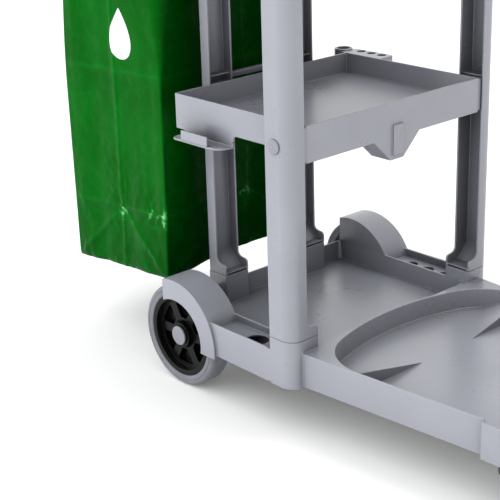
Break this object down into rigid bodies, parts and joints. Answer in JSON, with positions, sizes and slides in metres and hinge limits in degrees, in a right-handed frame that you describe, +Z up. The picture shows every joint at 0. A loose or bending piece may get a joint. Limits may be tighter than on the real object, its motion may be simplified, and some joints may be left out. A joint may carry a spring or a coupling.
{
  "type": "housekeeping cart",
  "caption": "Housekeeping cart with a bucket platform, tray shelves on channel uprights, a hanging vinyl waste bag, large rear wheels and swivel front casters.",
  "frame": {"origin": "on the floor, at the middle of the cart's length and width", "axes": "+X forward, towards the casters and the bucket platform; +Y to the cart's left side, seen by a person who pushes it forward; +Z up"},
  "size_m": [1.19, 0.55, 0.975],
  "materials": {
    "body_plastic": "moulded blue-grey plastic, lightly textured",
    "bag_vinyl": "glossy green vinyl sheet",
    "hub_plastic": "glossy black moulding",
    "tyre_rubber": "smooth grey non-marking rubber",
    "cap_plastic": "grey push-in cap",
    "caster_plastic": "black moulding",
    "grip_rubber": "black sleeve",
    "steel": "bright zinc-plated steel"
  },
  "bodies": {
    "cart": {"base": "body_plastic", "upright_front_near": "body_plastic", "upright_front_far": "body_plastic", "upright_rear_near": "body_plastic", "upright_rear_far": "body_plastic", "middle_shelf": "body_plastic", "top_shelf": "body_plastic", "tool_rack": "body_plastic", "rear_rail": "body_plastic", "shelf_plug_near": "cap_plastic", "shelf_plug_far": "cap_plastic", "bag_frame": "body_plastic", "handle_grip": "grip_rubber", "waste_bag": "bag_vinyl", "bag_hook_1": "steel", "bag_hook_2": "steel", "bag_hook_3": "steel", "bag_hook_4": "steel", "bag_hook_5": "steel", "bag_hook_6": "steel", "rear_axle": "steel", "wheel_spacer_near": "hub_plastic", "wheel_nut_near": "steel", "caster_plate_near": "steel", "caster_kingpin_near": "steel", "wheel_spacer_far": "hub_plastic", "wheel_nut_far": "steel", "caster_plate_far": "steel", "caster_kingpin_far": "steel"},
    "rear_wheel_near": {"wheel_tyre_near": "tyre_rubber", "wheel_hub_near": "hub_plastic", "wheel_cap_near": "cap_plastic"},
    "caster_near": {"caster_fork_near": "caster_plastic", "caster_axle_near": "steel"},
    "caster_wheel_near": {"caster_hub_near": "caster_plastic", "caster_tyre_near": "tyre_rubber"},
    "rear_wheel_far": {"wheel_tyre_far": "tyre_rubber", "wheel_hub_far": "hub_plastic", "wheel_cap_far": "cap_plastic"},
    "caster_far": {"caster_fork_far": "caster_plastic", "caster_axle_far": "steel"},
    "caster_wheel_far": {"caster_hub_far": "caster_plastic", "caster_tyre_far": "tyre_rubber"}
  },
  "joints": [
    {"name": "rear_wheel_near_spin", "type": "hinge", "parent": "cart", "child": "rear_wheel_near", "pos_m": [-0.169, -0.27, 0.1], "axis": [0, 1, 0], "continuous": true},
    {"name": "caster_near_swivel", "type": "hinge", "parent": "cart", "child": "caster_near", "pos_m": [0.566, -0.19, 0.0837], "axis": [0, 0, 1], "continuous": true},
    {"name": "caster_near_roll", "type": "hinge", "parent": "caster_near", "child": "caster_wheel_near", "pos_m": [0.566, -0.165, 0.035], "axis": [1, 0, 0], "continuous": true},
    {"name": "rear_wheel_far_spin", "type": "hinge", "parent": "cart", "child": "rear_wheel_far", "pos_m": [-0.169, 0.27, 0.1], "axis": [0, 1, 0], "continuous": true},
    {"name": "caster_far_swivel", "type": "hinge", "parent": "cart", "child": "caster_far", "pos_m": [0.566, 0.19, 0.0837], "axis": [0, 0, 1], "continuous": true},
    {"name": "caster_far_roll", "type": "hinge", "parent": "caster_far", "child": "caster_wheel_far", "pos_m": [0.566, 0.165, 0.035], "axis": [1, 0, 0], "continuous": true}
  ]
}
